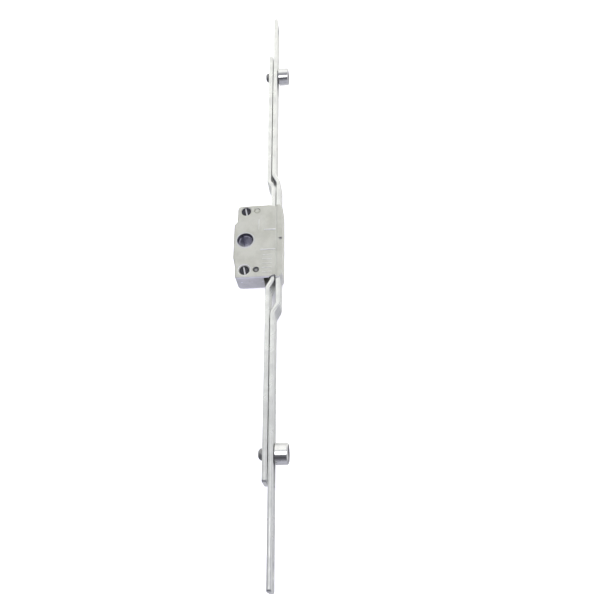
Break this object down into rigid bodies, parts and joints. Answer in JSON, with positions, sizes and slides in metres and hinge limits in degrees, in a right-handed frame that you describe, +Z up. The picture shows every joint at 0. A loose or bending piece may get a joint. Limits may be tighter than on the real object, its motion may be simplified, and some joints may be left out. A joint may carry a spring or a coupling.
{
  "type": "multipoint lock",
  "caption": "Sliding-sash multipoint lock: a toothed spindle hub in a die-cast case slides a joggled drive rod whose roller pins run in a slotted faceplate.",
  "frame": {"origin": "on the spindle axis, midway through the width of the bars", "axes": "+Z up along the bars, +X from the spindle to the rollers, -Y out of the front of the case along the spindle"},
  "size_m": [0.0335, 0.0141, 0.4],
  "materials": {
    "plated_steel": "zinc plated, satin",
    "case_coat": "matte pale warm grey on a die casting",
    "roller_steel": "polished",
    "pin_steel": "dull grey",
    "screw_steel": "dark, worn bright in the slot",
    "hub_zinc": "sintered steel, dull",
    "carriage_zinc": "sintered steel, dull",
    "spring_steel": "spring steel"
  },
  "bodies": {
    "frame": {"faceplate": "plated_steel", "case_front": "case_coat", "case_back": "case_coat", "case_screws": "screw_steel", "case_rivet_upper": "case_coat", "case_rivet_lower": "pin_steel", "key_pin": "pin_steel", "brake_spring": "spring_steel"},
    "drive": {"drive_rod": "plated_steel", "rack_carriage": "carriage_zinc", "carriage_rivets": "pin_steel", "roller_pin_upper": "pin_steel", "roller_pin_lower": "pin_steel", "pin_washer_upper": "pin_steel", "pin_washer_lower": "pin_steel"},
    "hub": {"spindle_hub": "hub_zinc"},
    "top_roller": {"roller_upper": "roller_steel"},
    "bottom_roller": {"roller_lower": "roller_steel"}
  },
  "joints": [
    {"name": "rod_slide", "type": "slide", "parent": "frame", "child": "drive", "axis": [0, 0, 1], "range_m": [-0.015, 0.003]},
    {"name": "hub_turn", "type": "hinge", "parent": "frame", "child": "hub", "pos_m": [0, 0, 0], "axis": [0, -1, 0], "range_deg": [-75, 15]},
    {"name": "top_roller_spin", "type": "hinge", "parent": "drive", "child": "top_roller", "pos_m": [0.02, 0, 0.144], "axis": [1, 0, 0], "continuous": true},
    {"name": "bottom_roller_spin", "type": "hinge", "parent": "drive", "child": "bottom_roller", "pos_m": [0.02, 0, -0.132], "axis": [1, 0, 0], "continuous": true}
  ],
  "couplings": [
    {"joint": "hub_turn", "follows": "rod_slide", "rad_per_m": 87.266}
  ]
}
